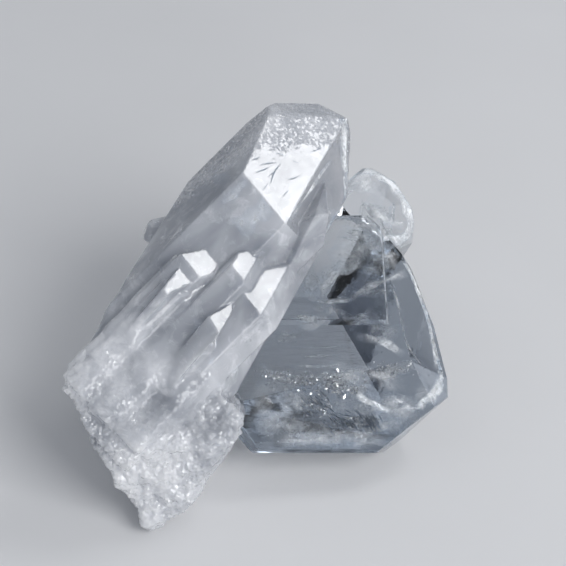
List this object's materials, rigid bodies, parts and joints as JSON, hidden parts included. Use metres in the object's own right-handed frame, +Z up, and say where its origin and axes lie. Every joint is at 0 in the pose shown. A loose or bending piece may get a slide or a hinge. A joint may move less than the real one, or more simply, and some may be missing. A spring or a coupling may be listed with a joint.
{
  "type": "quartz crystal cluster",
  "caption": "Intergrown faden quartz: a milky stepped crystal group leaning over a clear tabular crystal with a healed thread inside.",
  "frame": {"origin": "centre of the cluster's bounding box on the ground plane it rests on", "axes": "+Z up from the surface the cluster rests on; +Y away from the viewer, from the broken root towards the crystal tips; +X to the viewer's right, from the milky group towards the clear crystal"},
  "size_m": [0.039, 0.0426, 0.03],
  "materials": {
    "quartz": "milky to water-clear natural crystal, glossy faces, hackly broken root"
  },
  "bodies": {
    "root": {"quartz_cluster": "quartz"}
  },
  "joints": []
}
